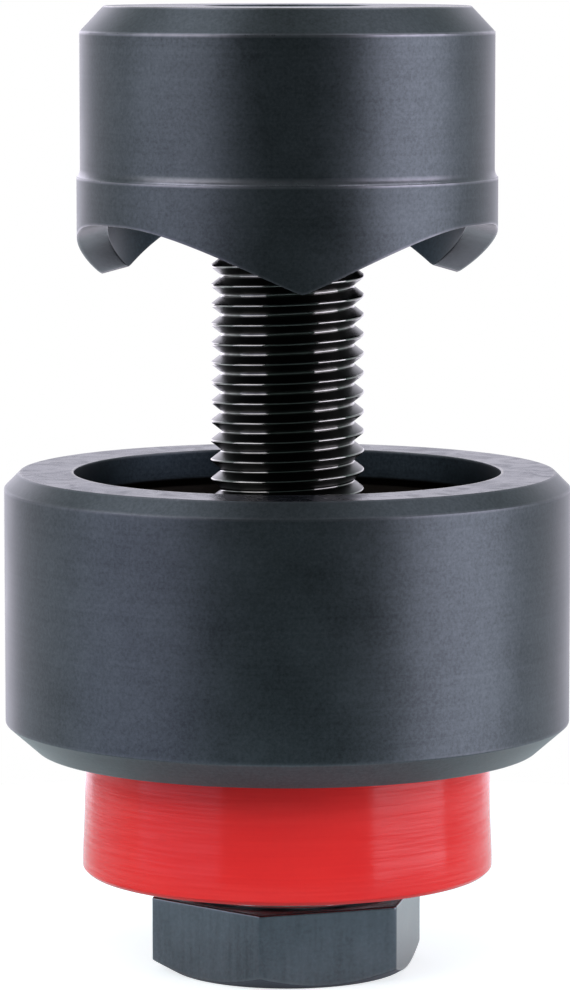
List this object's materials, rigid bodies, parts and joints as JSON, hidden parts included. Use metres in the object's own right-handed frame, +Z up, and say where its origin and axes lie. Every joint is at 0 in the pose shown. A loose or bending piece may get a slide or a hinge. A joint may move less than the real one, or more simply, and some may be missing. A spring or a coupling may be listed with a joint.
{
  "type": "screw punch",
  "caption": "Screw-driven hole punch for sheet metal: a toothed cup is drawn into a die ring by a hexagon-headed screw that turns on a ball thrust bearing.",
  "frame": {"origin": "centre of the flat foot of the screw's hexagon head, which the tool stands on", "axes": "+Z up along the screw from head to punch; -Y is the side that the picture shows, +X is its right"},
  "size_m": [0.073, 0.073, 0.1244],
  "materials": {
    "blacked_steel": "satin black oxide on turned tool steel",
    "black_screw": "oiled black oxide, glossy on the thread crests",
    "red_paint": "satin red enamel over fine turning marks",
    "bearing_steel": "ground",
    "ball_steel": "polished",
    "cage_brass": "machined",
    "spring_steel": "phosphated"
  },
  "bodies": {
    "housing": {"bearing_housing": "red_paint", "upper_race": "bearing_steel", "retaining_ring": "spring_steel"},
    "screw": {"draw_screw": "black_screw", "lower_race": "bearing_steel"},
    "punch": {"punch": "blacked_steel"},
    "die": {"die": "blacked_steel"},
    "cage": {"ball_cage": "cage_brass"},
    "ball_01": {"ball_01": "ball_steel"},
    "ball_02": {"ball_02": "ball_steel"},
    "ball_03": {"ball_03": "ball_steel"},
    "ball_04": {"ball_04": "ball_steel"},
    "ball_05": {"ball_05": "ball_steel"},
    "ball_06": {"ball_06": "ball_steel"},
    "ball_07": {"ball_07": "ball_steel"},
    "ball_08": {"ball_08": "ball_steel"},
    "ball_09": {"ball_09": "ball_steel"},
    "ball_10": {"ball_10": "ball_steel"},
    "ball_11": {"ball_11": "ball_steel"},
    "ball_12": {"ball_12": "ball_steel"}
  },
  "joints": [
    {"name": "screw_turn", "type": "hinge", "parent": "housing", "child": "screw", "pos_m": [0, 0, 0], "axis": [0, 0, 1], "range_deg": [-2015, 4895]},
    {"name": "punch_travel", "type": "slide", "parent": "housing", "child": "punch", "axis": [0, 0, 1], "range_m": [-0.034, 0.014]},
    {"name": "die_lift", "type": "slide", "parent": "housing", "child": "die", "axis": [0, 0, 1], "range_m": [0, 0.012]},
    {"name": "cage_orbit", "type": "hinge", "parent": "housing", "child": "cage", "pos_m": [0, 0, 0.02091], "axis": [0, 0, 1], "range_deg": [-1008, 2448]},
    {"name": "ball_01_roll", "type": "hinge", "parent": "cage", "child": "ball_01", "pos_m": [0.01385, 0, 0.02091], "axis": [1, 0, 0], "range_deg": [-5624, 13659]},
    {"name": "ball_02_roll", "type": "hinge", "parent": "cage", "child": "ball_02", "pos_m": [0.01199, 0.00692, 0.02091], "axis": [0.866, 0.5, 0], "range_deg": [-5624, 13659]},
    {"name": "ball_03_roll", "type": "hinge", "parent": "cage", "child": "ball_03", "pos_m": [0.00692, 0.01199, 0.02091], "axis": [0.5, 0.866, 0], "range_deg": [-5624, 13659]},
    {"name": "ball_04_roll", "type": "hinge", "parent": "cage", "child": "ball_04", "pos_m": [0, 0.01385, 0.02091], "axis": [0, 1, 0], "range_deg": [-5624, 13659]},
    {"name": "ball_05_roll", "type": "hinge", "parent": "cage", "child": "ball_05", "pos_m": [-0.00692, 0.01199, 0.02091], "axis": [-0.5, 0.866, 0], "range_deg": [-5624, 13659]},
    {"name": "ball_06_roll", "type": "hinge", "parent": "cage", "child": "ball_06", "pos_m": [-0.01199, 0.00692, 0.02091], "axis": [-0.866, 0.5, 0], "range_deg": [-5624, 13659]},
    {"name": "ball_07_roll", "type": "hinge", "parent": "cage", "child": "ball_07", "pos_m": [-0.01385, 0, 0.02091], "axis": [-1, 0, 0], "range_deg": [-5624, 13659]},
    {"name": "ball_08_roll", "type": "hinge", "parent": "cage", "child": "ball_08", "pos_m": [-0.01199, -0.00692, 0.02091], "axis": [-0.866, -0.5, 0], "range_deg": [-5624, 13659]},
    {"name": "ball_09_roll", "type": "hinge", "parent": "cage", "child": "ball_09", "pos_m": [-0.00692, -0.01199, 0.02091], "axis": [-0.5, -0.866, 0], "range_deg": [-5624, 13659]},
    {"name": "ball_10_roll", "type": "hinge", "parent": "cage", "child": "ball_10", "pos_m": [0, -0.01385, 0.02091], "axis": [0, -1, 0], "range_deg": [-5624, 13659]},
    {"name": "ball_11_roll", "type": "hinge", "parent": "cage", "child": "ball_11", "pos_m": [0.00692, -0.01199, 0.02091], "axis": [0.5, -0.866, 0], "range_deg": [-5624, 13659]},
    {"name": "ball_12_roll", "type": "hinge", "parent": "cage", "child": "ball_12", "pos_m": [0.01199, -0.00692, 0.02091], "axis": [0.866, -0.5, 0], "range_deg": [-5624, 13659]}
  ],
  "couplings": [
    {"joint": "punch_travel", "follows": "screw_turn", "m_per_rad": -0.00039789},
    {"joint": "cage_orbit", "follows": "screw_turn", "ratio": 0.5},
    {"joint": "ball_01_roll", "follows": "screw_turn", "ratio": 2.7901},
    {"joint": "ball_02_roll", "follows": "screw_turn", "ratio": 2.7901},
    {"joint": "ball_03_roll", "follows": "screw_turn", "ratio": 2.7901},
    {"joint": "ball_04_roll", "follows": "screw_turn", "ratio": 2.7901},
    {"joint": "ball_05_roll", "follows": "screw_turn", "ratio": 2.7901},
    {"joint": "ball_06_roll", "follows": "screw_turn", "ratio": 2.7901},
    {"joint": "ball_07_roll", "follows": "screw_turn", "ratio": 2.7901},
    {"joint": "ball_08_roll", "follows": "screw_turn", "ratio": 2.7901},
    {"joint": "ball_09_roll", "follows": "screw_turn", "ratio": 2.7901},
    {"joint": "ball_10_roll", "follows": "screw_turn", "ratio": 2.7901},
    {"joint": "ball_11_roll", "follows": "screw_turn", "ratio": 2.7901},
    {"joint": "ball_12_roll", "follows": "screw_turn", "ratio": 2.7901}
  ]
}
